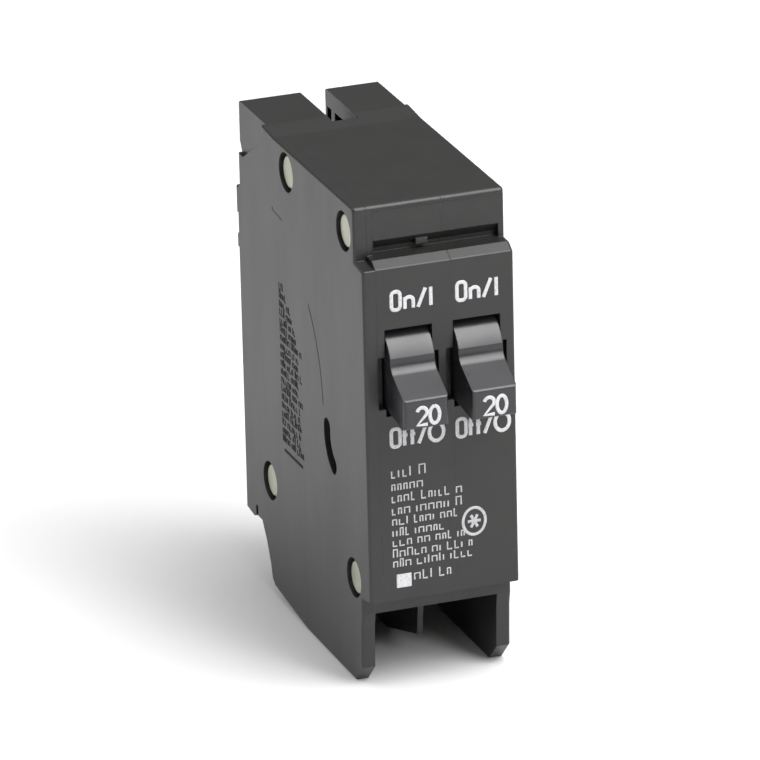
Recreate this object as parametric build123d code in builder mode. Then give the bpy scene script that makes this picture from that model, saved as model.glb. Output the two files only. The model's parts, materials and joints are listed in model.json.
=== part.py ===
from build123d import *
import os
from collections import namedtuple
from math import cos, radians, sin, sqrt

# Duplex plug-on circuit breaker: two independent poles side by side in one module.
# Millimetres. X runs across the width (+X on the right seen from the front), Y runs from
# the handles to the rear, Z runs up from the edges it stands on to the stab end.
# Profiles are drawn from the side as (depth, height): depth behind the raised front face,
# height above the rear end of the lower edges. The front legs reach LEG_DROP below that
# and stand on the ground, Z = 0.

# ---- Driving dimensions -------------------------------------------------------------
WIDTH = 25.4                  # one panel module
CASE_DEPTH = 60.4             # raised front face to the rear pads
FRONT_HEIGHT = 80.8           # rear end of the lower edges to the top of the nose
LEG_DROP = 0.9                # how much lower the front legs reach
HANDLE_OUT = 7.6              # how far the handles stand out of the front face
THROW = 39.4                  # degrees between OFF and ON

FRONT_Y = HANDLE_OUT - (CASE_DEPTH + HANDLE_OUT) / 2

# Case walls, across the width
LEFT_X, RIGHT_X = -WIDTH / 2, WIDTH / 2
LEFT_SEAM = -10.5             # left cover meets the centre base
DIVIDER_X = -0.3              # left face of the wall between the poles
RIGHT_SEAM = 2.1              # centre base meets the right case
RIGHT_INNER = 10.3            # inside of the right wall
BARRIER = 1.0                 # thickness of the divider between the terminals

# Case outline, from the side
WALL = 2.2
TOP_STEP = 0.4                # the stab end stands this much above the nose
STEP_DEPTH = (41.0, 46.0)     # where the top ramps up to it
TOP = FRONT_HEIGHT + TOP_STEP
NOSE_DEPTH = 3.85             # nose and lower skirt lie this far behind the front face
NOSE_BASE = 72.6
LEDGE_FRONT = 71.45           # the front face ends here, under the ledge
LEDGE_SLOPE = (1.7, 72.55)    # a sloped facet leads up to the ledge
COVER_LEDGE = 71.9            # the left cover has a plain, lower ledge
FACE_BOTTOM = 15.24
UNDERSIDE = 14.4              # where the front face's underside meets the skirt
SKIRT_TOP = 11.84             # lower edge of the skirt between the legs
SKIRT_REAR = 5.0
REAR = 59.8                   # rear face; the pads stand 0.6 proud of it
LIP = 10.3                    # underside of the rail foot
PAD_BANDS = [(61.7, 66.5), (55.7, 58.2)]
ROUND = 0.45                  # moulded edge radius
LEDGE_ROUND = 0.3             # front face to the ledge
CORNER_ROUND = 0.7            # front and rear top corners
PROUD = 1.0                   # how far a cut runs out past the case

# Details of the outside
SHOULDER_STEP = 0.75          # the sides are set in this much at the top rear
SHOULDER_H = 72.6
REAR_SETBACK = 58.7           # the rear face under the shoulder
TRIP_ARC, TRIP_ARC_R, TRIP_ARC_W = (12.6, 38.24), 6.0, 3.0
TRIP_ARC_ENDS = (7.0, -56.5)  # degrees
MARK_DEPTH, MARK_W = 0.05, 0.35
NOSE_PANEL_LEFT = -9.6        # the nose is set back to the right of its left corner post
NOSE_PANEL_DEPTH = 0.15
NOSE_EDGE = 0.9               # left above the set-back panel
NOSE_GROOVE_X = (-9.4, 11.7)
NOSE_GROOVE = (1.3, 0.8, 2.5)  # depth, height at the bottom and height at the front
NOSE_TAB_X = (-2.2, -0.2)     # a short tab left in the groove
RAIL_SLIT_D, RAIL_SLIT_TOP = (53.9, 54.9), 12.3

# Cavities
SHELF, SHELF_TOP = 26.0, 28.0
CEILING = 78.6
SLOT_X = (-1.5, 3.0)          # stab slot
SLOT_FRONT, SLOT_FLOOR = 44.0, 61.2
SLOT_WALL = 1.0
SLOT_POCKETS = [(49.8, 55.3), (57.0, 59.0)]
SLOT_POCKET_H = (73.6, 78.3)
SHELF_FRONT = 12.0            # front edge of the barrier under the shelf

# Rivets, as (depth, height)
RIVETS = [(35.2, 76.74), (8.4, 75.64), (47.3, 19.24), (7.5, 17.04)]
RIVET_R, RIVET_HEAD_R, RIVET_RECESS_R, RIVET_RECESS = 1.6, 2.85, 3.3, 1.3
RIVET_HEAD_T, RIVET_ROUND = 0.85, 0.5
BOSS_R, TERMINAL_BOSS_R = 3.3, 2.6

# Handle and contact arm
PIVOT = (5.0, 54.14)
HUB_R = 7.2
HANDLE_W = 7.5
LEVER_ROOT, LEVER_ROOT_H = 5.35, 4.8
LEVER_KNEE, LEVER_KNEE_H, KNEE_ROUND = 6.0, 3.1, 2.0
LEVER_TIP, LEVER_TIP_UP, LEVER_TIP_LOW = 14.5, 1.7, 2.6
PIN_R, FIT = 1.25, 0.05       # pin radius and running clearance
SOCKET = 0.8                  # how deep the pins sit in the case walls
WINDOW_LOW, WINDOW_HIGH, WINDOW_W = 46.7, 61.25, 8.0
RELIEF_H, RELIEF_DEPTH = (48.0, 56.7), 1.5
RELIEF_LEFT, RELIEF_RIGHT = 5.2, 5.0
LEG_R, LEG_ANGLE = 11.5, 35.0
ARM_LENGTH, ARM_OFF = 24.0, 20.0
ARM_T = 2.0
ARM_PIN_R = 0.9
LEG_W, FORK_W = 6.8, 2.6
LEG_END_R = 2.8
BUTTON_T, BUTTON_W = 1.0, 3.4
CONTACT_GAP = 0.15            # left between the buttons when ON

# Line conductor and stab jaw
STRAP_T = 1.5
STRAP_W = 4.4
RISER_D = (46.4, 47.6)
WING = 0.9                    # how far the jaw's base and the straps reach past the slot
JAW_H = (66.0, 74.0)
JAW_END = 57.6
JAW_GAP, JAW_T, CLIP_T = 1.4, 0.8, 0.45

# Trip unit
CRADLE_PIVOT = (42.0, 36.0)
CRADLE_TIP = (19.35, 39.8)
CRADLE_T = 2.0
ARMATURE_PIVOT = (18.7, 46.5)
ARMATURE_W = 7.4
ARMATURE_PIN_R = 0.8
BIMETAL_D, BIMETAL_H, BIMETAL_W = (14.0, 15.0), (29.5, 46.0), 5.0
YOKE_H, YOKE_W, YOKE_T = (35.0, 43.0), 7.4, 1.0
SPRING_D, SPRING_H = 28.5, (42.35, 63.1)
BRAID_R, BRAID_D = 0.9, 14.5

# Terminal: the screw leans 45 degrees, head down and forward
HEAD_FACE = (13.1, 13.5)
HEAD_R, HEAD_T = 3.2, 2.2
SHANK_R, SHANK_END = 1.9, 10.5
CLAMP_T, CLAMP_W = 1.2, 7.2
LOAD_S = (6.4, 7.9)           # load strap, measured inward along the screw
LOAD_W = 7.2
CALIBRATION_D = 8.5           # calibration screw, up through the shelf
FOOT_D, FOOT_H = 6.5, (33.0, 34.2)

Pole = namedtuple("Pole", "side x low high")
POLES = [
    Pole("left", -5.25, LEFT_SEAM, DIVIDER_X),
    Pole("right", 6.25, RIGHT_SEAM, RIGHT_INNER),
]


# ---- Placing and drawing ------------------------------------------------------------
def side(x):
    """Side-view plane at x: local x is depth, local y is height."""
    return Plane(origin=(x, FRONT_Y, LEG_DROP), x_dir=(0, 1, 0), z_dir=(1, 0, 0))


def floor_plan(height):
    """Plan-view plane at a height: local x is X, local y is depth."""
    return Plane(origin=(0, FRONT_Y, height + LEG_DROP), x_dir=(1, 0, 0), z_dir=(0, 0, 1))


def slab(points, x_from, x_to, mode=Mode.ADD):
    """Extrude a closed side profile between two X planes into the open part."""
    with BuildSketch(side(x_from)) as profile:
        with BuildLine():
            Polyline(*points, close=True)
        make_face()
    extrude(profile.sketch, amount=x_to - x_from, mode=mode)


def block(depth, height, x, mode=Mode.ADD):
    """A box from (low, high) pairs of depth, height and X."""
    corners = [(depth[0], height[0]), (depth[1], height[0]), (depth[1], height[1]), (depth[0], height[1])]
    slab(corners, x[0], x[1], mode)


def disc(centre, radius, x_from, x_to, mode=Mode.ADD):
    """A cylinder along X, centred at a (depth, height) point."""
    with BuildSketch(side(x_from)) as profile:
        with Locations(centre):
            Circle(radius)
    extrude(profile.sketch, amount=x_to - x_from, mode=mode)


def centred(x, width):
    """The (low, high) pair of a width about x."""
    return x - width / 2, x + width / 2


def polar(origin, radius, angle):
    """A (depth, height) point at a radius and an angle in degrees from a point."""
    return origin[0] + radius * cos(radians(angle)), origin[1] + radius * sin(radians(angle))


def along(origin, angle, s, q):
    """A (depth, height) point s along and q to the left of a direction from a point."""
    c, n = cos(radians(angle)), sin(radians(angle))
    return origin[0] + s * c - q * n, origin[1] + s * n + q * c


def screw_point(s, w):
    """A point s inward along the terminal screw from its head face and w down across it."""
    return along(HEAD_FACE, 45.0, s, -w)


def save(piece, name):
    """Label a finished piece and write it as one STEP file."""
    piece.part.label = name
    export_step(piece.part, f"parts/{name}.step")


# ---- Case ---------------------------------------------------------------------------
def outline(ledge):
    """The case seen from the side, with the rail foot at the bottom rear and a given ledge."""
    rear = [(REAR, TOP), (REAR, 74.3), (REAR_SETBACK, SHOULDER_H - 0.2), (REAR_SETBACK, 67.1)]
    for low, high in PAD_BANDS:
        rear += [(REAR, high), (CASE_DEPTH, high), (CASE_DEPTH, low), (REAR, low)]
    foot = [(REAR, LIP - 0.2), (56.3, LIP - 0.6), (55.0, LIP), (52.2, LIP), (50.2, 7.6), (48.5, 4.1)]
    heel = [(47.8, 1.7), (46.5, 0.8), (39.5, 0.0), (31.0, -LEG_DROP)]
    toe = [(8.0, -LEG_DROP), (4.6, 2.4), (4.3, 9.5), (NOSE_DEPTH, SKIRT_TOP), (NOSE_DEPTH, UNDERSIDE)]
    raised = [(0.0, FACE_BOTTOM), (0.0, LEDGE_FRONT)] + ledge + [(NOSE_DEPTH, FRONT_HEIGHT)]
    top = [(STEP_DEPTH[0], FRONT_HEIGHT), (STEP_DEPTH[1], TOP)]
    return rear + foot + heel + toe + raised + top


def mechanism_cavity():
    """The room for one pole's mechanism, above the terminal shelf."""
    return [
        (WALL, SHELF_TOP), (26.2, SHELF_TOP), (31.9, 12.3), (49.5, 12.3), (51.0, 14.3),
        (REAR - WALL, 14.3), (REAR - WALL, CEILING), (NOSE_DEPTH + WALL, CEILING),
        (NOSE_DEPTH + WALL, 70.0), (WALL, 70.0),
    ]


def terminal_chamber():
    """The room under the shelf, open at the bottom and towards the front."""
    front = [(NOSE_DEPTH, -2.0), (NOSE_DEPTH, SKIRT_TOP), (SKIRT_REAR, SKIRT_TOP), (SKIRT_REAR, SHELF)]
    return front + [(25.0, SHELF), (30.5, LIP), (53.0, LIP), (53.0, -2.0)]


def barrier_relief():
    """What is cut away in front of and below the barrier between the terminals."""
    lower = [(SHELF_FRONT, SHELF), (SHELF_FRONT, 8.6), (12.8, 3.2), (30.4, -2.0)]
    front = [(NOSE_DEPTH, -2.0), (NOSE_DEPTH, SKIRT_TOP), (SKIRT_REAR, SKIRT_TOP), (SKIRT_REAR, SHELF)]
    return front + lower


def case_slab(x_from, x_to, ledge):
    """A full slice of the case, its ledge and top corners rounded."""
    with BuildSketch(side(x_from)) as profile:
        with BuildLine():
            Polyline(*outline(ledge), close=True)
        make_face()
        fillet(profile.vertices().sort_by_distance((0, LEDGE_FRONT))[0], radius=LEDGE_ROUND)
        for corner in [(NOSE_DEPTH, FRONT_HEIGHT), (REAR, TOP)]:
            fillet(profile.vertices().sort_by_distance(corner)[0], radius=CORNER_ROUND)
    extrude(profile.sketch, amount=x_to - x_from)


def outer_details(x_outer, inward):
    """Cut what both side faces share: rivet recesses, trip slot, rear shoulder and marks."""
    for centre in RIVETS:
        disc(centre, RIVET_RECESS_R, x_outer, x_outer + inward * RIVET_RECESS, Mode.SUBTRACT)
    rear = [(56.3, SHOULDER_H), (REAR + PROUD, SHOULDER_H), (REAR + PROUD, TOP + PROUD)]
    shoulder = [(46.6, TOP + PROUD), (46.6, 78.3)] + rear
    slab(shoulder, x_outer, x_outer + inward * SHOULDER_STEP, Mode.SUBTRACT)
    with BuildSketch(side(x_outer)) as slot:
        with BuildLine():
            start, end = TRIP_ARC_ENDS
            ends = [polar(TRIP_ARC, TRIP_ARC_R, a) for a in (start, (start + end) / 2, end)]
            path = ThreePointArc(*ends)
        SlotArc(path, TRIP_ARC_W)
    extrude(slot.sketch, amount=inward * 3 * WALL, mode=Mode.SUBTRACT)
    with BuildSketch(side(x_outer)) as marks:
        with BuildLine():
            witness = ThreePointArc((26.0, 57.2), (21.6, 49.6), (20.1, 42.3))
        SlotArc(witness, MARK_W)
        with Locations((40.05, 68.2)):
            SlotOverall(5.0, 0.7, rotation=4.7)
    extrude(marks.sketch, amount=inward * MARK_DEPTH, mode=Mode.SUBTRACT)


def rail_slit():
    """The thin slit in the foot that hooks over the panel rail."""
    across = (LEFT_X - PROUD, RIGHT_X + PROUD)
    block(RAIL_SLIT_D, (LIP - PROUD, RAIL_SLIT_TOP), across, Mode.SUBTRACT)


def front_details(pole, x_low, x_high):
    """Cut the handle window, its side reliefs and the shadow groove under the nose."""
    window = (pole.x - WINDOW_W / 2, pole.x + WINDOW_W / 2)
    relief = (pole.x - RELIEF_LEFT, pole.x + RELIEF_RIGHT)
    if window[1] > x_low and window[0] < x_high:
        across = (max(window[0], x_low), min(window[1], x_high))
        block((-PROUD, 1.05 * WALL), (WINDOW_LOW, WINDOW_HIGH), across, Mode.SUBTRACT)
    across = (max(relief[0], x_low), min(relief[1], x_high))
    block((-PROUD, RELIEF_DEPTH), RELIEF_H, across, Mode.SUBTRACT)


def nose_details(x_low, x_high):
    """Cut the undercut groove at the nose base and set the nose back beside its left post."""
    front = NOSE_DEPTH - PROUD / 10
    depth, low_h, front_h = NOSE_GROOVE
    groove = [
        (front, NOSE_BASE), (front, NOSE_BASE + front_h), (NOSE_DEPTH, NOSE_BASE + front_h),
        (NOSE_DEPTH + depth, NOSE_BASE + low_h), (NOSE_DEPTH + depth, NOSE_BASE),
    ]
    left_end, right_end = max(x_low, NOSE_GROOVE_X[0]), min(x_high, NOSE_GROOVE_X[1])
    slab(groove, left_end, right_end, Mode.SUBTRACT)
    tall = (NOSE_BASE, FRONT_HEIGHT - NOSE_EDGE)
    panel = (max(x_low, NOSE_PANEL_LEFT), x_high)
    block((front, NOSE_DEPTH + NOSE_PANEL_DEPTH), tall, panel, Mode.SUBTRACT)
    if x_low < NOSE_TAB_X[0] < x_high:
        tab = (NOSE_BASE + 0.7, NOSE_BASE + 1.7)
        block((NOSE_DEPTH + NOSE_PANEL_DEPTH, NOSE_DEPTH + depth + 0.2), tab, NOSE_TAB_X)


def slot_cut(x_low, x_high):
    """The stab slot, open at the top and the rear, with openings where the jaw comes through."""
    block((SLOT_FRONT, REAR + 1), (SLOT_FLOOR, TOP + 1), (x_low, x_high), Mode.SUBTRACT)


def terminal_boss(x_from, x_to):
    """The lower front rivet's boss, joined to the front wall by a web."""
    centre = RIVETS[3]
    disc(centre, TERMINAL_BOSS_R, x_from, x_to)
    block((NOSE_DEPTH, centre[0]), (centre[1] - 1, centre[1] + 1), (x_from, x_to))


def pole_interior(pole):
    """Hollow out one pole: mechanism, terminal chamber, bosses, posts and pin sockets."""
    slab(mechanism_cavity(), pole.low, pole.high, Mode.SUBTRACT)
    slab(terminal_chamber(), pole.low, pole.high, Mode.SUBTRACT)
    for centre in RIVETS[:3]:
        disc(centre, BOSS_R, pole.low, pole.high)
    terminal_boss(pole.low, pole.high)


def conductor_openings(pole):
    """Cut the ways through the shelf for the load strap and the calibration screw."""
    strap = (BIMETAL_D[0] - STRAP_T, BIMETAL_D[0])
    block(strap, (SHELF - 1, SHELF_TOP + 1), centred(pole.x, LOAD_W), Mode.SUBTRACT)
    with BuildSketch(floor_plan(SHELF - 1)) as hole:
        with Locations((pole.x, CALIBRATION_D)):
            Circle(PIN_R)
    extrude(hole.sketch, amount=SHELF_TOP - SHELF + 2 * PROUD, mode=Mode.SUBTRACT)


def pin_sockets(pole):
    """Blind holes in both walls for the handle, cradle and armature pins."""
    sockets = [(PIVOT, PIN_R), (CRADLE_PIVOT, PIN_R), (ARMATURE_PIVOT, ARMATURE_PIN_R)]
    for centre, radius in sockets:
        disc(centre, radius, pole.low - SOCKET, pole.high + SOCKET, Mode.SUBTRACT)


def rivet_holes(x_low, x_high):
    for centre in RIVETS:
        disc(centre, RIVET_R, x_low, x_high, Mode.SUBTRACT)


LEFT_POLE, RIGHT_POLE = POLES
SLOPED_LEDGE = [LEDGE_SLOPE, (NOSE_DEPTH, NOSE_BASE)]
os.makedirs("parts", exist_ok=True)

with BuildPart() as left_cover:
    case_slab(LEFT_X, LEFT_SEAM, [(NOSE_DEPTH, COVER_LEDGE)])
    fillet(left_cover.faces().sort_by(Axis.X)[0].edges(), radius=ROUND)
    outer_details(LEFT_X, 1)
    rail_slit()
    rivet_holes(LEFT_X, LEFT_SEAM)
    pin_sockets(LEFT_POLE)
save(left_cover, "left_cover")

with BuildPart() as center_base:
    case_slab(LEFT_SEAM, RIGHT_SEAM, SLOPED_LEDGE)
    pole_interior(LEFT_POLE)
    slab(terminal_chamber(), DIVIDER_X + BARRIER, RIGHT_SEAM, Mode.SUBTRACT)
    slab(barrier_relief(), DIVIDER_X, DIVIDER_X + BARRIER, Mode.SUBTRACT)
    terminal_boss(DIVIDER_X, RIGHT_SEAM)
    block((SLOT_FRONT - 1, REAR), (SLOT_FLOOR - 1, FRONT_HEIGHT), (SLOT_X[0] - SLOT_WALL, DIVIDER_X))
    slot_cut(SLOT_X[0], RIGHT_SEAM)
    block(RISER_D, JAW_H, (SLOT_X[0] - 2, SLOT_X[0] + 1), Mode.SUBTRACT)
    front_details(LEFT_POLE, LEFT_SEAM, RIGHT_SEAM)
    front_details(RIGHT_POLE, LEFT_SEAM, RIGHT_SEAM)
    nose_details(LEFT_SEAM, RIGHT_SEAM)
    rail_slit()
    conductor_openings(LEFT_POLE)
    rivet_holes(LEFT_SEAM, RIGHT_SEAM)
    pin_sockets(LEFT_POLE)
    pin_sockets(RIGHT_POLE)
save(center_base, "center_base")

with BuildPart() as right_case:
    case_slab(RIGHT_SEAM, RIGHT_X, SLOPED_LEDGE)
    fillet(right_case.faces().sort_by(Axis.X)[-1].edges(), radius=ROUND)
    outer_details(RIGHT_X, -1)
    pole_interior(RIGHT_POLE)
    block((SLOT_FRONT - 1, REAR), (SLOT_FLOOR - 1, FRONT_HEIGHT), (RIGHT_SEAM, SLOT_X[1] + SLOT_WALL))
    slot_cut(RIGHT_SEAM, SLOT_X[1])
    block(RISER_D, JAW_H, (SLOT_X[1] - 1, SLOT_X[1] + 2), Mode.SUBTRACT)
    for pocket in SLOT_POCKETS:
        block(pocket, SLOT_POCKET_H, (SLOT_X[1] - PROUD, SLOT_X[1] + 1.5 * SLOT_WALL), Mode.SUBTRACT)
    front_details(RIGHT_POLE, RIGHT_SEAM, RIGHT_X)
    nose_details(RIGHT_SEAM, RIGHT_X)
    rail_slit()
    conductor_openings(RIGHT_POLE)
    rivet_holes(RIGHT_SEAM, RIGHT_X)
    pin_sockets(RIGHT_POLE)
save(right_case, "right_case")

with BuildPart() as case_rivets:
    for centre in RIVETS:
        disc(centre, RIVET_R, LEFT_X + RIVET_RECESS, RIGHT_X - RIVET_RECESS)
        for seat, outward in [(LEFT_X + RIVET_RECESS, -1), (RIGHT_X - RIVET_RECESS, 1)]:
            disc(centre, RIVET_HEAD_R, seat, seat + outward * RIVET_HEAD_T)
    for end in (0, -1):
        rims = case_rivets.edges().filter_by(GeomType.CIRCLE).group_by(Axis.X)[end]
        fillet(rims, radius=RIVET_ROUND)
save(case_rivets, "case_rivets")


# ---- Handles and contact arms -------------------------------------------------------
def handle(pole):
    """Toggle handle in the OFF position: hub, finger lever and the forked leg behind it."""
    lever = 180 + THROW / 2
    low, high = centred(pole.x, HANDLE_W)
    leg_end = polar(PIVOT, LEG_R, LEG_ANGLE)
    with BuildPart() as piece:
        with BuildSketch(side(low)) as profile:
            with Locations(PIVOT):
                Circle(HUB_R)
            with BuildLine():
                crease_up = along(PIVOT, lever, LEVER_ROOT, -LEVER_ROOT_H)
                crease_low = along(PIVOT, lever, LEVER_ROOT, LEVER_ROOT_H)
                knee = along(PIVOT, lever, LEVER_KNEE, -LEVER_KNEE_H)
                tip_up = along(PIVOT, lever, LEVER_TIP, -LEVER_TIP_UP)
                tip_low = along(PIVOT, lever, LEVER_TIP, LEVER_TIP_LOW)
                Polyline(crease_up, knee, tip_up, tip_low, crease_low, close=True)
            make_face()
            with BuildLine():
                over_tip = along(PIVOT, lever, LEVER_TIP, -HUB_R)
                over_hub = along(PIVOT, lever, 2 * LEVER_ROOT, -2 * LEVER_ROOT_H)
                Polyline(crease_up, knee, tip_up, over_tip, over_hub, close=True)
            make_face(mode=Mode.SUBTRACT)
            fillet(profile.vertices().sort_by_distance(knee)[0], radius=KNEE_ROUND)
            with Locations((-HANDLE_OUT, PIVOT[1])):
                Rectangle(2 * HANDLE_OUT, 4 * HUB_R, align=(Align.MAX, Align.CENTER), mode=Mode.SUBTRACT)
        extrude(profile.sketch, amount=high - low)
        tip = piece.faces().sort_by(Axis.Y)[0]
        fillet(tip.edges(), radius=0.5)
        with BuildSketch(side(pole.x - LEG_W / 2)) as leg:
            with BuildLine():
                Polyline(
                    along(PIVOT, LEG_ANGLE, 4, LEG_END_R), along(PIVOT, LEG_ANGLE, LEG_R, LEG_END_R),
                    along(PIVOT, LEG_ANGLE, LEG_R, -LEG_END_R), along(PIVOT, LEG_ANGLE, 4, -LEG_END_R),
                    close=True,
                )
            make_face()
            with Locations(leg_end):
                Circle(LEG_END_R)
        extrude(leg.sketch, amount=LEG_W)
        with BuildSketch(side(pole.x - FORK_W / 2)) as fork:
            with Locations(leg_end):
                Circle(5.5)
            with Locations(PIVOT):
                Circle(HUB_R + 0.6, mode=Mode.SUBTRACT)
        extrude(fork.sketch, amount=FORK_W, mode=Mode.SUBTRACT)
        disc(PIVOT, PIN_R + FIT, low, high, Mode.SUBTRACT)
        disc(leg_end, ARM_PIN_R, low, high, Mode.SUBTRACT)
    return piece


def contact_arm(pole):
    """Blade hinged in the handle's fork, with a wider pad at its free end."""
    hinge = polar(PIVOT, LEG_R, LEG_ANGLE)
    blade_low, blade_high = centred(pole.x, ARM_T)
    pad_low, pad_high = centred(pole.x, BUTTON_W + 0.4)
    with BuildPart() as piece:
        disc(hinge, 2.4, blade_low, blade_high)
        spine = [(0, 2.4), (14, 1.9), (26.2, 1.6), (26.2, -2.4), (21.8, -2.4), (14, -2.0), (0, -2.4)]
        slab([along(hinge, ARM_OFF, s, q) for s, q in spine], blade_low, blade_high)
        pad = [(21.8, -2.4), (26.2, -2.4), (26.2, 0.6), (21.8, 0.6)]
        slab([along(hinge, ARM_OFF, s, q) for s, q in pad], pad_low, pad_high)
        disc(hinge, ARM_PIN_R + FIT, blade_low, blade_high, Mode.SUBTRACT)
        disc(along(hinge, ARM_OFF, 13.5, -0.3), 0.6, blade_low, blade_high, Mode.SUBTRACT)
    return piece


def moving_contact(pole):
    """Silver button under the arm's pad."""
    hinge = polar(PIVOT, LEG_R, LEG_ANGLE)
    low, high = centred(pole.x, BUTTON_W)
    button = [(22.3, -2.4), (25.7, -2.4), (25.5, -2.4 - BUTTON_T), (22.5, -2.4 - BUTTON_T)]
    with BuildPart() as piece:
        slab([along(hinge, ARM_OFF, s, q) for s, q in button], low, high)
    return piece


def pin(centre, radius, x_low, x_high):
    with BuildPart() as piece:
        disc(centre, radius, x_low, x_high)
        ends = piece.edges().filter_by(GeomType.CIRCLE)
        chamfer(ends, length=0.2)
    return piece


# ---- Line side: fixed contacts, straps and stab jaw ---------------------------------
HINGE_ON = polar(PIVOT, LEG_R, LEG_ANGLE - THROW)
FIXED_TOP = HINGE_ON[1] - 2.4 - BUTTON_T - CONTACT_GAP
FIXED_D = HINGE_ON[0] + ARM_LENGTH


def fixed_contact(pole):
    """Silver button that the moving one closes on."""
    low, high = centred(pole.x, BUTTON_W)
    base = FIXED_TOP - BUTTON_T
    corners = [(-1.9, base), (1.9, base), (1.7, FIXED_TOP), (-1.7, FIXED_TOP)]
    with BuildPart() as piece:
        slab([(FIXED_D + d, h) for d, h in corners], low, high)
    return piece


def line_strap(pole):
    """L-shaped copper strap from the fixed contact up to the jaw."""
    low, high = centred(pole.x, STRAP_W)
    top = FIXED_TOP - BUTTON_T
    if pole.side == "left":
        reach = (low, SLOT_X[0] - WING)
    else:
        reach = (SLOT_X[1] + WING, high)
    with BuildPart() as piece:
        block((FIXED_D - 3.2, RISER_D[1]), (top - STRAP_T, top), (low, high))
        block(RISER_D, (top - STRAP_T, JAW_H[1]), (low, high))
        block(RISER_D, JAW_H, reach)
        bend = (pole.x, FRONT_Y + RISER_D[1], top - STRAP_T + LEG_DROP)
        outer = piece.edges().filter_by(Axis.X).sort_by_distance(bend)[0]
        fillet(outer, radius=1.0)
    return piece


def jaw_leg(x, sign):
    """Plan of one jaw leg, pinched near its end and flared for the stab."""
    gap = JAW_GAP / 2
    plan = [(gap + 0.1, RISER_D[0]), (gap, 54.0), (gap - 0.25, 55.6), (gap + 0.25, JAW_END)]
    outer = [(p + JAW_T, d) for p, d in reversed(plan)]
    return [(x + sign * p, d) for p, d in plan + outer]


def stab_jaw():
    """Copper jaw: two legs behind a base whose wings reach both line straps."""
    middle = sum(SLOT_X) / 2
    with BuildPart() as piece:
        with BuildSketch(floor_plan(JAW_H[0])) as plan:
            for sign in (-1, 1):
                with BuildLine():
                    Polyline(*jaw_leg(middle, sign), close=True)
                make_face()
        extrude(plan.sketch, amount=JAW_H[1] - JAW_H[0])
        block(RISER_D, JAW_H, (SLOT_X[0] - WING, SLOT_X[1] + WING))
    return piece


def jaw_clip():
    """Steel spring clip that presses the jaw's legs together."""
    middle = sum(SLOT_X) / 2
    leg = JAW_GAP / 2 + JAW_T
    with BuildPart() as piece:
        for sign in (-1, 1):
            with BuildSketch(floor_plan(JAW_H[0] + 1)) as plan:
                with BuildLine():
                    points = [(leg + 0.12, RISER_D[1]), (leg + 0.02, 54.0), (leg - 0.23, 55.6)]
                    outer = [(p + CLIP_T, d) for p, d in reversed(points)]
                    Polyline(*[(middle + sign * p, d) for p, d in points + outer], close=True)
                make_face()
            extrude(plan.sketch, amount=JAW_H[1] - JAW_H[0] - 2)
    return piece


# ---- Trip unit ----------------------------------------------------------------------
def cradle(pole):
    """Trip lever held at its front end by the armature."""
    low, high = centred(pole.x, CRADLE_T)
    tip_d, tip_h = CRADLE_TIP
    with BuildPart() as piece:
        disc(CRADLE_PIVOT, 3.2, low, high)
        slab(
            [
                (tip_d, tip_h - 1.2), (tip_d, tip_h + 1.0), (25.0, tip_h + 1.6), (27.2, 42.0), (29.8, 42.0),
                (30.4, 40.8), (CRADLE_PIVOT[0], 39.2), (CRADLE_PIVOT[0], 32.8), (30.0, 36.4), (24.0, 38.0),
            ],
            low, high,
        )
        disc(CRADLE_PIVOT, PIN_R + FIT, low, high, Mode.SUBTRACT)
    return piece


def toggle_spring(pole):
    """Coil spring between the cradle and the contact arm."""
    coil_r, wire_r = 1.5, 0.25
    low, high = SPRING_H
    start = Plane(origin=(pole.x, FRONT_Y + SPRING_D, low + LEG_DROP), x_dir=(1, 0, 0), z_dir=(0, 0, 1))
    with BuildPart() as piece:
        with BuildLine(start):
            coil = Helix(pitch=(high - low) / 9, height=high - low, radius=coil_r)
        with BuildSketch(Plane(origin=coil @ 0, z_dir=coil % 0)):
            Circle(wire_r)
        sweep(is_frenet=True)
    return piece


def bimetal(pole):
    """Strip that bends forward as it heats."""
    with BuildPart() as piece:
        block(BIMETAL_D, BIMETAL_H, centred(pole.x, BIMETAL_W))
    return piece


def magnet_yoke(pole):
    """U-shaped steel around the bimetal."""
    back = (BIMETAL_D[0] - 1.2, BIMETAL_D[0])
    with BuildPart() as piece:
        block(back, YOKE_H, centred(pole.x, YOKE_W))
        for sign in (-1, 1):
            outer = pole.x + sign * YOKE_W / 2
            block((back[0], 15.6), YOKE_H, sorted((outer, outer - sign * YOKE_T)))
    return piece


def armature(pole):
    """Plate hung from a curled top edge in front of the cradle's tip."""
    low, high = centred(pole.x, ARMATURE_W)
    pivot_d, pivot_h = ARMATURE_PIVOT
    with BuildPart() as piece:
        disc(ARMATURE_PIVOT, 1.8, low, high)
        block((pivot_d - 0.5, pivot_d + 0.5), (34.0, pivot_h), (low, high))
        block((pivot_d - 2, pivot_d + 2), (36.0, 37.6), centred(pole.x, 3.0), Mode.SUBTRACT)
        disc(ARMATURE_PIVOT, ARMATURE_PIN_R + FIT, low, high, Mode.SUBTRACT)
    return piece


def braid(pole):
    """Flexible copper braid from beside the contact arm to the top of the bimetal."""
    route = [(BRAID_D, BIMETAL_H[1]), (BRAID_D, 49.3), (24.0, 52.5), (26.0, 66.3)]
    plane = side(pole.x + 2.0)
    with BuildPart() as piece:
        with BuildLine(plane):
            FilletPolyline(*route, radius=2.1 * BRAID_R)
        with BuildSketch(Plane(origin=plane.from_local_coords(Vector(*route[0], 0)), z_dir=(0, 0, 1))):
            Circle(BRAID_R)
        sweep()
    return piece


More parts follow.
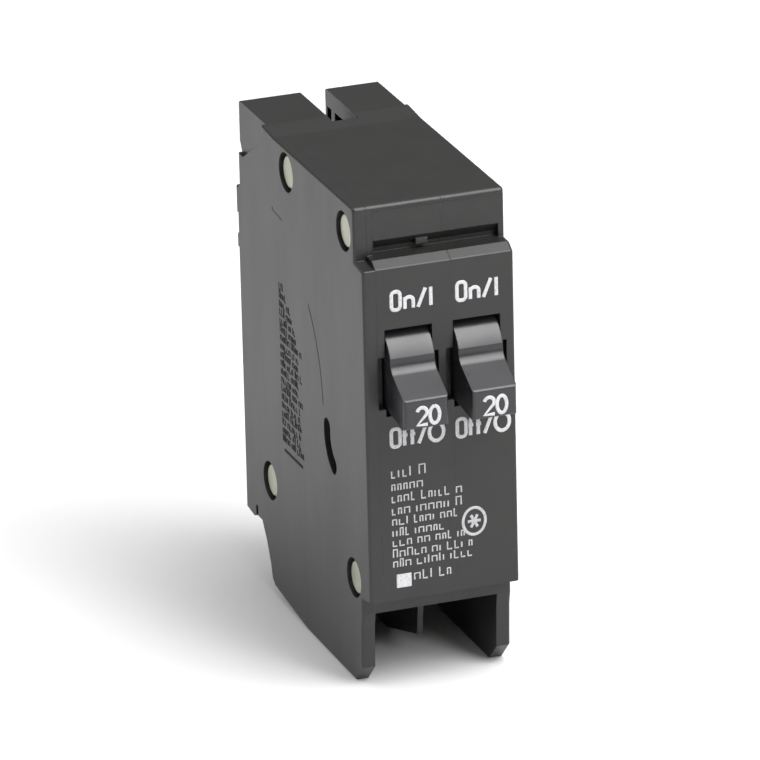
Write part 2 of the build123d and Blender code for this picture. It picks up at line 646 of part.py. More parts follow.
def calibration_screw(pole):
    """Factory-set screw in the shelf that bears on the load strap's foot."""
    head_t, head_r = 1.6, 2.0
    with BuildPart() as piece:
        with BuildSketch(floor_plan(SHELF)) as shank:
            with Locations((pole.x, CALIBRATION_D)):
                Circle(PIN_R)
        extrude(shank.sketch, amount=FOOT_H[0] - SHELF)
        with BuildSketch(floor_plan(SHELF - head_t)) as head:
            with Locations((pole.x, CALIBRATION_D)):
                Circle(head_r)
        extrude(head.sketch, amount=head_t)
        slot = (CALIBRATION_D - 0.3, CALIBRATION_D + 0.3)
        block(slot, (SHELF - 2, SHELF - 0.9), centred(pole.x, 2.5 * head_r), Mode.SUBTRACT)
    return piece


# ---- Load terminal ------------------------------------------------------------------
def screw_plane(s):
    """Plane across the terminal screw, s inward from its head face; positive is inward."""
    d, h = screw_point(s, 0)
    return Plane(origin=(0, FRONT_Y + d, h + LEG_DROP), x_dir=(1, 0, 0), z_dir=(0, sqrt(0.5), sqrt(0.5)))


def load_strap(pole):
    """Copper strap under the terminal screw, bent up through the shelf to the bimetal."""
    front_d, rear_d = BIMETAL_D[0] - STRAP_T, BIMETAL_D[0]
    inner, outer = LOAD_S
    low, high = centred(pole.x, LOAD_W)
    bend_low = screw_point(inner, 0)[1] + screw_point(inner, 0)[0] - front_d
    bend_high = screw_point(outer, 0)[1] + screw_point(outer, 0)[0] - rear_d
    with BuildPart() as piece:
        slab(
            [
                screw_point(inner, 4.6), screw_point(outer, 4.6), (rear_d, bend_high), (rear_d, FOOT_H[1]),
                (FOOT_D, FOOT_H[1]), (FOOT_D, FOOT_H[0]), (front_d, FOOT_H[0]), (front_d, bend_low),
            ],
            low, high,
        )
        with BuildSketch(screw_plane(inner - 1)) as hole:
            with Locations((pole.x, 0)):
                Circle(SHANK_R + FIT)
        extrude(hole.sketch, amount=outer - inner + 2, mode=Mode.SUBTRACT)
    return piece


def terminal_clamp(pole):
    """Square pressure plate under the screw's head, its two edges turned in to hold the wire."""
    with BuildPart() as piece:
        with BuildSketch(screw_plane(HEAD_T)) as plate:
            with Locations((pole.x, 0)):
                RectangleRounded(CLAMP_W, 7.0, 0.6)
        extrude(plate.sketch, amount=CLAMP_T)
        with BuildSketch(screw_plane(HEAD_T + CLAMP_T)) as lips:
            with Locations((pole.x - CLAMP_W / 2 + 0.5, 0), (pole.x + CLAMP_W / 2 - 0.5, 0)):
                Rectangle(1.0, 5.6)
        extrude(lips.sketch, amount=0.5)
        with BuildSketch(screw_plane(HEAD_T)) as hole:
            with Locations((pole.x, 0)):
                Circle(SHANK_R + FIT)
        extrude(hole.sketch, amount=CLAMP_T, mode=Mode.SUBTRACT)
    return piece


def terminal_screw(pole):
    """Slotted binding-head screw."""
    with BuildPart() as piece:
        with BuildSketch(screw_plane(0)) as head:
            with Locations((pole.x, 0)):
                Circle(HEAD_R)
        extrude(head.sketch, amount=HEAD_T)
        rim = piece.edges().filter_by(GeomType.CIRCLE).sort_by(Axis.Z)[0]
        fillet(rim, radius=0.5)
        with BuildSketch(screw_plane(HEAD_T)) as shank:
            with Locations((pole.x, 0)):
                Circle(SHANK_R)
        extrude(shank.sketch, amount=SHANK_END - HEAD_T)
        end = piece.edges().filter_by(GeomType.CIRCLE).sort_by(Axis.Z)[-1]
        chamfer(end, length=0.5)
        with BuildSketch(screw_plane(0)) as slot:
            with Locations((pole.x, 0)):
                Rectangle(2.5 * HEAD_R, 1.1)
        extrude(slot.sketch, amount=1.2, mode=Mode.SUBTRACT)
    return piece


def arc_liner(pole):
    """Vulcanised-fibre sheet on the outer wall beside the contacts."""
    wall, inward = (pole.low, 1) if pole.side == "left" else (pole.high, -1)
    x = sorted((wall, wall + inward * 0.8))
    with BuildPart() as piece:
        block((29.0, 54.0), (45.0, 72.0), x)
    return piece


save(stab_jaw(), "stab_jaw")
save(jaw_clip(), "jaw_clip")
for pole in POLES:
    socket_low, socket_high = pole.low - SOCKET, pole.high + SOCKET
    leg_pin = polar(PIVOT, LEG_R, LEG_ANGLE)
    save(handle(pole), f"{pole.side}_handle")
    save(pin(PIVOT, PIN_R, socket_low, socket_high), f"{pole.side}_handle_pin")
    save(contact_arm(pole), f"{pole.side}_contact_arm")
    save(pin(leg_pin, ARM_PIN_R, *centred(pole.x, LEG_W)), f"{pole.side}_arm_pin")
    save(moving_contact(pole), f"{pole.side}_moving_contact")
    save(fixed_contact(pole), f"{pole.side}_fixed_contact")
    save(line_strap(pole), f"{pole.side}_line_strap")
    save(arc_liner(pole), f"{pole.side}_arc_liner")
    save(cradle(pole), f"{pole.side}_cradle")
    save(pin(CRADLE_PIVOT, PIN_R, socket_low, socket_high), f"{pole.side}_cradle_pin")
    save(toggle_spring(pole), f"{pole.side}_toggle_spring")
    save(bimetal(pole), f"{pole.side}_bimetal")
    save(magnet_yoke(pole), f"{pole.side}_magnet_yoke")
    save(armature(pole), f"{pole.side}_armature")
    save(pin(ARMATURE_PIVOT, ARMATURE_PIN_R, socket_low, socket_high), f"{pole.side}_armature_pin")
    save(braid(pole), f"{pole.side}_braid")
    save(calibration_screw(pole), f"{pole.side}_calibration_screw")
    save(load_strap(pole), f"{pole.side}_load_strap")
    save(terminal_clamp(pole), f"{pole.side}_terminal_clamp")
    save(terminal_screw(pole), f"{pole.side}_terminal_screw")
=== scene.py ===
import json
import random
from math import cos, radians, sin

import bmesh
import bpy
from mathutils import Matrix, Vector

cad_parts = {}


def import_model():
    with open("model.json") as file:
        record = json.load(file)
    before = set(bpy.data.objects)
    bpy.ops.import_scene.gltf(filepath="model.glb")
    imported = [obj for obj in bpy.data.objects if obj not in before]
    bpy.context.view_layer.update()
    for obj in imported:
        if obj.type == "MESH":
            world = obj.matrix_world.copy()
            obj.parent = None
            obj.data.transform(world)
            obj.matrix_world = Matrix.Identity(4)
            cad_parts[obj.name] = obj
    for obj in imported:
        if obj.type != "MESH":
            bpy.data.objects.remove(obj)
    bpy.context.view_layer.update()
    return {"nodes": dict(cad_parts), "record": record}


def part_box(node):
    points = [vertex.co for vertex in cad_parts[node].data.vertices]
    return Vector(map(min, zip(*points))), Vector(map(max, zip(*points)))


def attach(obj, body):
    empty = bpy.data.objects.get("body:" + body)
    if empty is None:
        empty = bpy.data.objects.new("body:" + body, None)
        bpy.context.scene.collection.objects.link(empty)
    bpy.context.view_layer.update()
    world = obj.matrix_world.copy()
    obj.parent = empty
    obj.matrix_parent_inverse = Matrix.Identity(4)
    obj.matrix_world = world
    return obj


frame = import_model()

# A duplex plug-on circuit breaker, in metres: X across the width, Y from the handles to the
# rear, Z up to the stab end. Shapes come from the CAD frame; this script adds the printed
# marks, the mould details, every material, the lights and the camera.

MM = 0.001
NODES = frame["nodes"]

# ---- Places read from the frame -----------------------------------------------------
LEFT_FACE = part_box("left_cover")[0].x          # outer side face
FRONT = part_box("center_base")[0].y             # raised front face
HANDLE_END = {side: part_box(f"{side}_handle")[0].y for side in ("left", "right")}
POLE_X = {
    side: (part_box(f"{side}_handle")[0].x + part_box(f"{side}_handle")[1].x) / 2
    for side in ("left", "right")
}

# ---- Camera and light ---------------------------------------------------------------
CAMERA_PLACE = Vector((-422.5, -1174.4, 519.44)) * MM
CAMERA_AZIMUTH, CAMERA_ELEVATION, CAMERA_ROLL = radians(-19.757), radians(20.886), radians(-1.386)
CAMERA_LENS, CAMERA_SENSOR = 392.4, 36.0

LIGHT_AIM = (0.0, 0.0, 0.04)            # the middle of the case
SKY_HEIGHT = (0.33, 0.62)               # where the surroundings start and stop brightening
SKY_STRENGTH = (0.13, 0.70)             # below and above those heights
FLOOR_SIZE = 6.0

# ---- Printed marks: heights are measured from LEG_DROP above the floor ----------------
LEG_DROP = 0.9 * MM                     # how far the front legs reach below the rear edge
INK = 0.035 * MM                        # how far the ink stands proud

CAP, STROKE = 3.05 * MM, 0.64 * MM      # capital height and line width of ON and OFF
ON_BASE, OFF_BASE = 64.4 * MM, 41.4 * MM
RATING_CAP, RATING_STROKE = 2.9 * MM, 0.62 * MM
RATING_BASE = 47.55 * MM
ON_GAP, OFF_GAP, RATING_GAP = 0.26, 0.17, 0.16     # between glyphs, in capital heights
# How far left of its handle's middle each legend starts
ON_START = {"left": 2.72 * MM, "right": 3.2 * MM}
OFF_START = {"left": 3.25 * MM, "right": 3.6 * MM}
RATING_START = {"left": 0.55 * RATING_CAP, "right": 0.62 * RATING_CAP}

FRONT_ROW_LEFT = -8.6 * MM              # left edge of the small print on the front
LAST_ROW_INDENT = 3.5 * MM              # leaves room for the patch mark
FINE_STROKE = 0.27 * MM
# Each row of the small print on the front in mm: its height, length and letter height
FRONT_ROWS = [
    (36.2, 6.0, 1.6), (34.0, 4.9, 1.4), (32.0, 11.5, 1.4), (29.9, 11.6, 1.4), (28.1, 11.0, 1.3),
    (26.2, 8.8, 1.3), (24.5, 11.6, 1.3), (22.6, 13.0, 1.3), (20.9, 13.4, 1.3), (18.3, 6.2, 1.5),
]
ROUND_MARK = (5.2 * MM, 26.7 * MM)      # its middle
RING_RADII, STAR_RADII = (1.9 * MM, 2.3 * MM), (1.1 * MM, 1.2 * MM)
ROUND_MARK_STROKE = 0.5 * MM
PATCH_BARS = (-7.7 * MM, -6.9 * MM, -6.1 * MM)
PATCH_LOW, PATCH_HIGH = 17.3 * MM, 19.6 * MM
PATCH_STROKE = 0.95 * MM

SIDE_FLUSH = 40.2 * MM                  # the flush edge of the side print, behind the front
SIDE_ROWS, SIDE_TOP = 19, 55.2 * MM
SIDE_PITCH, SIDE_LETTER, SIDE_STROKE = 1.46 * MM, 1.1 * MM, 0.46 * MM
# Rows grow from the first length to the longest in mm, which is ragged by up to two steps
SIDE_FIRST, SIDE_GROWTH, SIDE_LONGEST, SIDE_RAGGED = 2.0, 1.25, 9.6, 0.7
RULE_HEIGHT, RULE_STROKE = 27.45 * MM, 0.6 * MM
RULE_START, RULE_END = 0.6 * MM, 9.4 * MM    # from the flush edge


# ======== Materials ==================================================================
def set_range(node, low, high, to_low, to_high):
    """Fill in a Map Range node."""
    node.inputs["From Min"].default_value = low
    node.inputs["From Max"].default_value = high
    node.inputs["To Min"].default_value = to_low
    node.inputs["To Max"].default_value = to_high


class Shader:
    """A Principled material and short names for the nodes that feed it."""

    def __init__(self, name, **sockets):
        self.material = bpy.data.materials.new(name)
        self.material.use_nodes = True
        self.tree = self.material.node_tree
        self.bsdf = self.tree.nodes["Principled BSDF"]
        for socket, value in sockets.items():
            self.bsdf.inputs[socket.replace("_", " ")].default_value = value
        self.place = self.tree.nodes.new("ShaderNodeTexCoord").outputs["Object"]

    def link(self, source, node, socket):
        self.tree.links.new(source, node.inputs[socket])

    def stretched(self, scale):
        """Object coordinates scaled per axis, for streaks and brushed grain."""
        node = self.tree.nodes.new("ShaderNodeMapping")
        node.inputs["Scale"].default_value = scale
        self.link(self.place, node, "Vector")
        return node.outputs["Vector"]

    def turned(self, degrees):
        """Object coordinates turned about X, Y and Z."""
        node = self.tree.nodes.new("ShaderNodeMapping")
        node.inputs["Rotation"].default_value = [radians(a) for a in degrees]
        self.link(self.place, node, "Vector")
        return node.outputs["Vector"]

    def noise(self, scale, detail=3.0, roughness=0.55, place=None):
        node = self.tree.nodes.new("ShaderNodeTexNoise")
        node.inputs["Scale"].default_value = scale
        node.inputs["Detail"].default_value = detail
        node.inputs["Roughness"].default_value = roughness
        self.link(place or self.place, node, "Vector")
        return node.outputs["Fac"]

    def cells(self, scale):
        node = self.tree.nodes.new("ShaderNodeTexVoronoi")
        node.inputs["Scale"].default_value = scale
        self.link(self.place, node, "Vector")
        return node.outputs["Distance"]

    def waves(self, scale, place, distortion):
        node = self.tree.nodes.new("ShaderNodeTexWave")
        node.inputs["Scale"].default_value = scale
        node.inputs["Distortion"].default_value = distortion
        self.link(place, node, "Vector")
        return node.outputs["Fac"]

    def spread(self, value, low, high, to_low, to_high):
        """Map low..high of a value to another range, clamped."""
        node = self.tree.nodes.new("ShaderNodeMapRange")
        set_range(node, low, high, to_low, to_high)
        self.link(value, node, "Value")
        return node.outputs["Result"]

    def math(self, operation, a, b):
        """Combine two values, each a number or another node's output, clamped to 0..1."""
        node = self.tree.nodes.new("ShaderNodeMath")
        node.operation = operation
        node.use_clamp = True
        for index, value in enumerate((a, b)):
            if isinstance(value, (int, float)):
                node.inputs[index].default_value = value
            else:
                self.link(value, node, index)
        return node.outputs["Value"]

    def blend(self, factor, a, b):
        """Mix two colours, each a tuple or another node's output."""
        node = self.tree.nodes.new("ShaderNodeMix")
        node.data_type = "RGBA"
        self.link(factor, node, "Factor")
        for socket, value in (("A", a), ("B", b)):
            target = next(i for i in node.inputs if i.name == socket and i.type == "RGBA")
            if isinstance(value, tuple):
                target.default_value = (*value, 1.0)
            else:
                self.tree.links.new(value, target)
        return next(o for o in node.outputs if o.type == "RGBA")

    def bump(self, height, distance, strength, below=None):
        node = self.tree.nodes.new("ShaderNodeBump")
        node.inputs["Distance"].default_value = distance
        node.inputs["Strength"].default_value = strength
        self.link(height, node, "Height")
        if below is not None:
            self.link(below, node, "Normal")
        return node.outputs["Normal"]

    def soft_edges(self, radius):
        """The normal as if every edge were rounded to this radius."""
        node = self.tree.nodes.new("ShaderNodeBevel")
        node.samples = 6
        node.inputs["Radius"].default_value = radius
        return node.outputs["Normal"]

    def edge_mask(self, radius):
        """1 at sharp edges, 0 on flat faces."""
        rounded = self.soft_edges(radius)
        dot = self.tree.nodes.new("ShaderNodeVectorMath")
        dot.operation = "DOT_PRODUCT"
        geometry = self.tree.nodes.new("ShaderNodeNewGeometry")
        self.tree.links.new(rounded, dot.inputs[0])
        self.tree.links.new(geometry.outputs["Normal"], dot.inputs[1])
        return self.spread(dot.outputs["Value"], 0.98, 0.75, 0.0, 1.0)

    def colour(self, value):
        self.link(value, self.bsdf, "Base Color")

    def roughness(self, value):
        self.link(value, self.bsdf, "Roughness")

    def normal(self, value):
        self.link(value, self.bsdf, "Normal")


def moulded_case():
    """Black thermoset: fine mould texture, faint flow streaks, dust and rubbed edges."""
    s = Shader("case_black", Specular_IOR_Level=0.5)
    streaks = s.noise(1.0, detail=3.0, place=s.stretched((120.0, 160.0, 40.0)))
    mottle = s.noise(160.0, detail=5.0)
    grain = s.noise(5200.0, detail=2.0)
    specks = s.spread(s.cells(900.0), 0.10, 0.04, 0.0, 0.55)
    patches = s.spread(s.noise(420.0, detail=2.0), 0.56, 0.66, 0.0, 1.0)
    body = s.blend(mottle, (0.011, 0.011, 0.0105), (0.019, 0.019, 0.018))
    dusty = s.blend(s.math("MULTIPLY", specks, patches), body, (0.06, 0.06, 0.057))
    rubbed = s.math("MULTIPLY", s.edge_mask(0.25 * MM), s.spread(s.noise(700.0), 0.35, 0.7, 0.0, 0.5))
    s.colour(s.blend(rubbed, dusty, (0.055, 0.055, 0.055)))
    streaky = s.spread(streaks, 0.3, 0.7, 0.36, 0.40)
    s.roughness(s.math("ADD", streaky, s.spread(grain, 0.3, 0.7, -0.02, 0.04)))
    peel = s.bump(s.noise(900.0, detail=3.0), 0.012 * MM, 0.7, s.soft_edges(0.18 * MM))
    s.normal(s.bump(grain, 0.006 * MM, 0.6, peel))
    return s.material


def moulded_handle():
    """Smoother black plastic of the toggles, polished by fingers at the tips."""
    s = Shader("handle_black", Specular_IOR_Level=0.55)
    mottle = s.noise(300.0, detail=4.0)
    grain = s.noise(6000.0, detail=2.0)
    body = s.blend(mottle, (0.014, 0.014, 0.016), (0.022, 0.022, 0.025))
    rubbed = s.math("MULTIPLY", s.edge_mask(0.3 * MM), s.spread(s.noise(900.0), 0.35, 0.7, 0.0, 0.6))
    s.colour(s.blend(rubbed, body, (0.07, 0.07, 0.075)))
    s.roughness(s.spread(s.noise(240.0, detail=5.0), 0.3, 0.7, 0.27, 0.34))
    peel = s.bump(s.noise(1100.0), 0.01 * MM, 0.6, s.soft_edges(0.2 * MM))
    s.normal(s.bump(grain, 0.005 * MM, 0.5, peel))
    return s.material


def metal(name, light, dark, rough, tarnish=0.0, stain_tone=(0.2, 0.12, 0.06)):
    """Plated or rolled metal: directional grain, tone variation and a little tarnish."""
    s = Shader(name, Metallic=1.0)
    tone = s.noise(260.0, detail=5.0)
    base = s.blend(s.spread(tone, 0.3, 0.7, 0.0, 1.0), dark, light)
    if tarnish:
        cloud = s.noise(520.0, detail=6.0, roughness=0.7)
        stain = s.spread(cloud, 0.62 - tarnish, 0.78 - tarnish, 0.0, 0.7)
        base = s.blend(stain, base, stain_tone)
    s.colour(base)
    brushed = s.noise(1.0, detail=3.0, place=s.stretched((3000.0, 3000.0, 260.0)))
    streaks = s.spread(brushed, 0.3, 0.7, rough - 0.06, rough + 0.08)
    s.roughness(s.math("ADD", streaks, s.spread(tone, 0.3, 0.7, 0.0, 0.08)))
    s.normal(s.bump(brushed, 0.004 * MM, 0.5, s.soft_edges(0.08 * MM)))
    return s.material


def woven_copper():
    """Braided copper wire: two crossing sets of fine strands."""
    s = Shader("braid", Metallic=1.0)
    one = s.waves(520.0, s.place, distortion=0.2)
    two = s.waves(520.0, s.turned((70.0, 35.0, 85.0)), distortion=0.2)
    weave = s.math("MAXIMUM", one, two)
    s.colour(s.blend(weave, (0.30, 0.13, 0.07), (0.80, 0.46, 0.30)))
    s.roughness(s.spread(weave, 0.0, 1.0, 0.55, 0.32))
    s.normal(s.bump(weave, 0.06 * MM, 0.9))
    return s.material


def vulcanised_fibre():
    """Grey pressed fibre with felted flecks."""
    s = Shader("fibre")
    felt = s.noise(1.0, detail=6.0, roughness=0.7, place=s.stretched((4000.0, 900.0, 1600.0)))
    s.colour(s.blend(s.spread(felt, 0.3, 0.7, 0.0, 1.0), (0.20, 0.17, 0.14), (0.40, 0.36, 0.31)))
    s.roughness(s.spread(felt, 0.3, 0.7, 0.7, 0.9))
    s.normal(s.bump(felt, 0.02 * MM, 0.6))
    return s.material


def printed_ink(name, tone, worn, rough, shine=0.5):
    """Pad-printed ink: slightly patchy where the texture of the case shows through."""
    s = Shader(name, Specular_IOR_Level=shine)
    patchy = s.spread(s.noise(2600.0, detail=4.0, roughness=0.7), 0.54, 0.72, 0.0, 0.75)
    cloudy = s.noise(420.0, detail=3.0)
    fresh = s.blend(cloudy, tone, tuple(0.88 * c for c in tone))
    s.colour(s.blend(patchy, fresh, worn))
    s.roughness(s.spread(patchy, 0.0, 1.0, rough, rough + 0.15))
    s.normal(s.bump(s.noise(3800.0), 0.004 * MM, 0.6))
    return s.material


# Metals: name, light tone, dark tone, roughness
SLOT_MATERIALS = {
    "case_black": moulded_case(),
    "handle_black": moulded_handle(),
    "rivet_steel": metal("rivet_steel", (0.50, 0.50, 0.42), (0.36, 0.36, 0.29), 0.36, tarnish=0.02),
    "copper": metal("copper", (0.80, 0.44, 0.28), (0.55, 0.27, 0.16), 0.30, tarnish=0.08),
    "tinned_copper": metal("tinned_copper", (0.72, 0.70, 0.66), (0.50, 0.47, 0.43), 0.36, tarnish=0.06),
    "silver": metal(
        "silver", (0.90, 0.89, 0.86), (0.68, 0.67, 0.64), 0.28, tarnish=0.05,
        stain_tone=(0.12, 0.11, 0.10),
    ),
    "pin_steel": metal("pin_steel", (0.62, 0.62, 0.62), (0.46, 0.46, 0.46), 0.22),
    "plated_steel": metal("plated_steel", (0.74, 0.70, 0.54), (0.52, 0.49, 0.38), 0.32, tarnish=0.05),
    "spring_steel": metal("spring_steel", (0.52, 0.52, 0.54), (0.34, 0.34, 0.36), 0.26),
    "bimetal": metal("bimetal", (0.68, 0.64, 0.58), (0.48, 0.45, 0.40), 0.33, tarnish=0.07),
    "screw_steel": metal("screw_steel", (0.76, 0.75, 0.70), (0.54, 0.53, 0.49), 0.30, tarnish=0.05),
    "fibre": vulcanised_fibre(),
    "braid": woven_copper(),
}
WHITE_INK = printed_ink("white_ink", (0.62, 0.62, 0.64), (0.20, 0.20, 0.20), 0.50)
FINE_INK = printed_ink("fine_ink", (0.50, 0.50, 0.52), (0.12, 0.12, 0.12), 0.55)
DARK_INK = printed_ink("dark_ink", (0.004, 0.004, 0.004), (0.020, 0.020, 0.019), 0.62, shine=0.15)

for part in frame["record"]["subparts"]:
    finish = SLOT_MATERIALS[part["material_slot"]]
    mesh = NODES[part["node"]].data
    mesh.materials.clear()
    mesh.materials.append(finish)


# ======== Printed marks ==============================================================
def arc(centre, radii, start, end, steps=10):
    """Points on an ellipse arc, angles in degrees."""
    return [
        (centre[0] + radii[0] * cos(radians(a)), centre[1] + radii[1] * sin(radians(a)))
        for a in (start + (end - start) * i / steps for i in range(steps + 1))
    ]


def rounded_ring(width, height, corner):
    """A closed rounded rectangle, starting at the middle of its left side."""
    inner_w, inner_h = width - corner, height - corner
    r = (corner, corner)
    return (
        arc((corner, inner_h), r, 180, 90, 5) + arc((inner_w, inner_h), r, 90, 0, 5)
        + arc((inner_w, corner), r, 0, -90, 5) + arc((corner, corner), r, -90, -180, 5)
        + [(0.0, inner_h)]
    )


# Each glyph: its width and its strokes, for a capital height of 1
X_HEIGHT = 0.64               # of the stem of the n
GLYPHS = {
    "O": (0.48, [rounded_ring(0.48, 1.0, 0.2)]),
    "n": (
        0.46,
        [[(0.0, 0.0), (0.0, X_HEIGHT)], arc((0.23, 0.42), (0.23, 0.2), 180, 0) + [(0.46, 0.0)]],
    ),
    "f": (
        0.26,
        [
            [(0.08, 0.0), (0.08, 0.72)] + arc((0.24, 0.8), (0.16, 0.18), 180, 90, 5),
            [(-0.04, 0.58), (0.24, 0.58)],
        ],
    ),
    "/": (0.42, [[(0.0, 0.0), (0.42, 1.0)]]),
    "I": (0.06, [[(0.03, 0.0), (0.03, 1.0)]]),
    "2": (0.58, [arc((0.29, 0.71), (0.29, 0.29), 165, -25, 10) + [(0.0, 0.0), (0.6, 0.0)]]),
    "0": (0.56, [arc((0.28, 0.5), (0.28, 0.5), 90, -270, 20)]),
    "round O": (0.8, [arc((0.4, 0.5), (0.4, 0.5), 90, -270, 24)]),
}


def stroke_piece(name, strokes, thickness, surface, material, body):
    """Turn flat strokes into slightly raised ink that follows a flat surface.

    strokes are lists of (right, up) points in metres; surface is a matrix that puts right,
    up and outward into the row frame. Each stroke is a round line pressed flat."""
    curve = bpy.data.curves.new(name, "CURVE")
    curve.dimensions = "3D"
    curve.bevel_depth = thickness / 2
    curve.bevel_resolution = 2
    curve.use_fill_caps = True
    for points in strokes:
        closed = points[0] == points[-1]
        line = points[:-1] if closed else points
        spline = curve.splines.new("POLY")
        spline.points.add(len(line) - 1)
        spline.use_cyclic_u = closed
        for point, (right, up) in zip(spline.points, line):
            point.co = (right, up, 0.0, 1.0)
    drawn = bpy.data.objects.new(name + "_line", curve)
    bpy.context.scene.collection.objects.link(drawn)
    bpy.context.view_layer.update()
    evaluated = drawn.evaluated_get(bpy.context.evaluated_depsgraph_get())
    mesh = bpy.data.meshes.new_from_object(evaluated)
    bpy.data.objects.remove(drawn)
    mesh.transform(surface @ Matrix.Diagonal((1.0, 1.0, 2 * INK / thickness, 1.0)))
    mesh.name = name
    mesh.materials.clear()
    mesh.materials.append(material)
    for polygon in mesh.polygons:
        polygon.use_smooth = True
    piece = bpy.data.objects.new(name, mesh)
    bpy.context.scene.collection.objects.link(piece)
    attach(piece, body)


def front_surface(y):
    """Right is +X, up is +Z and outward is -Y."""
    return Matrix(((1, 0, 0, 0), (0, 0, -1, y), (0, 1, 0, LEG_DROP), (0, 0, 0, 1)))


def left_surface(x):
    """Seen from the left: right is -Y, up is +Z and outward is -X."""
    return Matrix(((0, 0, -1, x), (-1, 0, 0, 0), (0, 1, 0, LEG_DROP), (0, 0, 0, 1)))


def written(text, left, base, cap, spacing):
    """Strokes of a short legend, its glyph names in order from the left."""
    strokes, at = [], left
    for glyph in text:
        width, lines = GLYPHS[glyph]
        strokes += [[(at + x * cap, base + y * cap) for x, y in line] for line in lines]
        at += (width + spacing) * cap
    return strokes


def legends():
    """On and Off above and below each handle, and the rating on the handle's end."""
    front = front_surface(FRONT)
    on_text, off_text = ["O", "n", "/", "I"], ["O", "f", "f", "/", "round O"]
    for side, x in POLE_X.items():
        on_strokes = written(on_text, x - ON_START[side], ON_BASE, CAP, ON_GAP)
        off_strokes = written(off_text, x - OFF_START[side], OFF_BASE, CAP, OFF_GAP)
        rating = written(["2", "0"], x - RATING_START[side], RATING_BASE, RATING_CAP, RATING_GAP)
        end = front_surface(HANDLE_END[side])
        stroke_piece(f"{side}_legend_on", on_strokes, STROKE, front, WHITE_INK, "case")
        stroke_piece(f"{side}_legend_off", off_strokes, STROKE, front, WHITE_INK, "case")
        stroke_piece(f"{side}_rating", rating, RATING_STROKE, end, WHITE_INK, f"{side}_handle")


def fine_row(rng, left, base, length, height):
    """Meaningless small print: ticks, hoops and dashes grouped into words."""
    strokes, at, word = [], left, rng.randint(3, 6)
    while at < left + length:
        tall = height * rng.choice((0.7, 0.7, 1.0))
        wide = height * rng.choice((0.35, 0.5, 0.6))
        kind = rng.choice(("tick", "hoop", "hoop", "dash"))
        if kind == "tick":
            strokes.append([(at, base), (at, base + tall)])
            wide = 0.1 * height
        elif kind == "hoop":
            strokes.append([(at, base), (at, base + tall), (at + wide, base + tall), (at + wide, base)])
        else:
            strokes.append([(at + wide, base), (at, base), (at, base + tall)])
        at += wide + 0.38 * height
        word -= 1
        if word == 0:
            at += 0.5 * height
            word = rng.randint(2, 6)
    return strokes


def front_print():
    """Rows of small print, a round mark and a patch of bars under the handles."""
    rng = random.Random(4)
    front = front_surface(FRONT)
    strokes = []
    for row in FRONT_ROWS:
        base, length, height = (MM * number for number in row)
        indent = LAST_ROW_INDENT if row is FRONT_ROWS[-1] else 0.0
        strokes += fine_row(rng, FRONT_ROW_LEFT + indent, base, length, height)
    stroke_piece("front_fine_print", strokes, FINE_STROKE, front, FINE_INK, "case")
    ring = arc(ROUND_MARK, RING_RADII, 90, -270, 28)
    star = [arc(ROUND_MARK, STAR_RADII, a, a + 180, 1) for a in (0, 60, 120)]
    stroke_piece("front_round_mark", [ring] + star, ROUND_MARK_STROKE, front, FINE_INK, "case")
    patch = [[(x, PATCH_LOW), (x, PATCH_HIGH)] for x in PATCH_BARS]
    stroke_piece("front_patch_mark", patch, PATCH_STROKE, front, WHITE_INK, "case")


def side_print():
    """Dark rows on the left cover, flush at the rear and growing longer downwards."""
    rng = random.Random(11)
    side = left_surface(LEFT_FACE)
    flush = -(FRONT + SIDE_FLUSH)
    strokes = []
    for row in range(SIDE_ROWS):
        longest = SIDE_LONGEST - (row % 3) * SIDE_RAGGED
        length = min(SIDE_FIRST + SIDE_GROWTH * row, longest) * MM
        strokes += fine_row(rng, flush, SIDE_TOP - row * SIDE_PITCH, length, SIDE_LETTER)
    stroke_piece("side_fine_print", strokes, SIDE_STROKE, side, DARK_INK, "case")
    rule = [[(flush + RULE_START, RULE_HEIGHT), (flush + RULE_END, RULE_HEIGHT)]]
    stroke_piece("side_rule_mark", rule, RULE_STROKE, side, DARK_INK, "case")


legends()
front_print()
side_print()


# ======== Studio =====================================================================
def floor():
    """A large pale sheet with a very slight unevenness in tone."""
    s = Shader("studio_floor")
    tone = s.noise(2.0, detail=3.0)
    s.colour(s.blend(tone, (0.82, 0.82, 0.82), (0.86, 0.86, 0.86)))
    s.roughness(s.spread(tone, 0.3, 0.7, 0.55, 0.65))
    mesh = bpy.data.meshes.new("studio_floor")
    shape = bmesh.new()
    bmesh.ops.create_grid(shape, x_segments=8, y_segments=8, size=FLOOR_SIZE)
    shape.to_mesh(mesh)
    shape.free()
    mesh.materials.append(s.material)
    sheet = bpy.data.objects.new("studio_floor", mesh)
    bpy.context.scene.collection.objects.link(sheet)


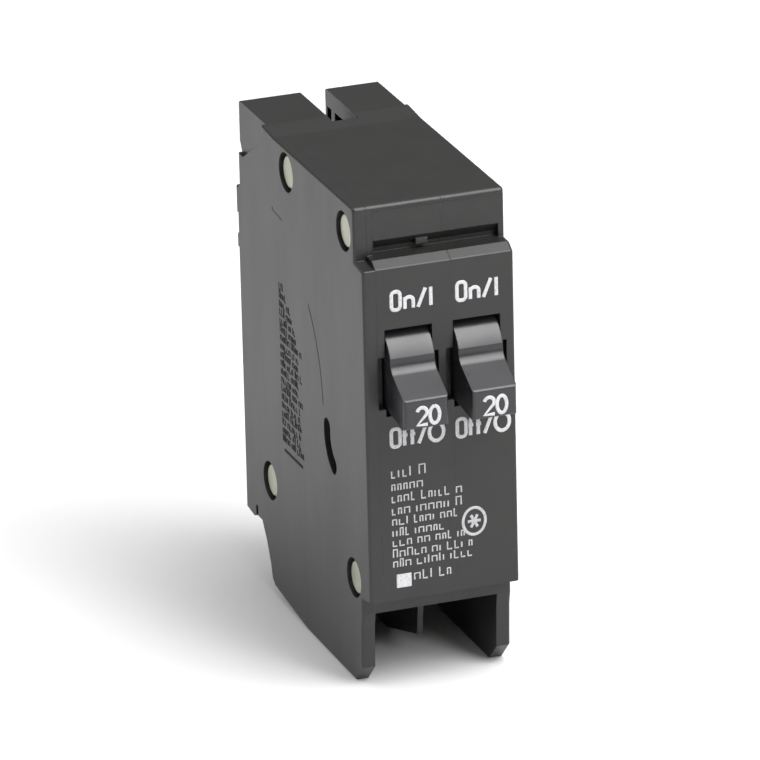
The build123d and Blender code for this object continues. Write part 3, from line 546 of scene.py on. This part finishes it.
def softbox(name, place, size, power):
    """A white rectangular light that faces the middle of the case."""
    lamp = bpy.data.lights.new(name, "AREA")
    lamp.shape = "RECTANGLE"
    lamp.size, lamp.size_y = size
    lamp.energy = power
    holder = bpy.data.objects.new(name, lamp)
    holder.location = place
    holder.rotation_mode = "QUATERNION"
    holder.rotation_quaternion = (Vector(LIGHT_AIM) - Vector(place)).to_track_quat("-Z", "Y")
    bpy.context.scene.collection.objects.link(holder)


def world():
    """Soft white surroundings, dim near the horizon and brighter overhead."""
    sky = bpy.data.worlds.new("studio")
    sky.use_nodes = True
    tree = sky.node_tree
    place = tree.nodes.new("ShaderNodeTexCoord")
    axes = tree.nodes.new("ShaderNodeSeparateXYZ")
    ramp = tree.nodes.new("ShaderNodeMapRange")
    set_range(ramp, *SKY_HEIGHT, *SKY_STRENGTH)
    tree.links.new(place.outputs["Generated"], axes.inputs["Vector"])
    tree.links.new(axes.outputs["Z"], ramp.inputs["Value"])
    tree.links.new(ramp.outputs["Result"], tree.nodes["Background"].inputs["Strength"])
    tree.nodes["Background"].inputs["Color"].default_value = (1.0, 1.0, 1.0, 1.0)
    bpy.context.scene.world = sky


def camera():
    """A long lens, placed and turned by azimuth, elevation and roll."""
    a, e, r = CAMERA_AZIMUTH, CAMERA_ELEVATION, CAMERA_ROLL
    back = Vector((sin(a) * cos(e), -cos(a) * cos(e), sin(e)))
    right = Vector((cos(a), sin(a), 0.0))
    up = back.cross(right)
    image_x, image_y = cos(r) * right + sin(r) * up, cos(r) * up - sin(r) * right
    data = bpy.data.cameras.new("camera")
    data.lens, data.sensor_width = CAMERA_LENS, CAMERA_SENSOR
    data.clip_start, data.clip_end = 0.05, 50.0
    holder = bpy.data.objects.new("camera", data)
    turn = Matrix((image_x, image_y, back)).transposed().to_4x4()
    holder.matrix_world = Matrix.Translation(CAMERA_PLACE) @ turn
    bpy.context.scene.collection.objects.link(holder)
    bpy.context.scene.camera = holder


floor()
world()
softbox("key", place=(0.34, -0.42, 0.93), size=(0.6, 0.95), power=14.5)
softbox("front", place=(0.42, -1.05, 0.62), size=(0.35, 0.4), power=3.0)
softbox("fill", place=(-0.9, 0.6, 0.8), size=(0.8, 0.8), power=4.0)
camera()
bpy.context.scene.view_settings.view_transform = "Standard"
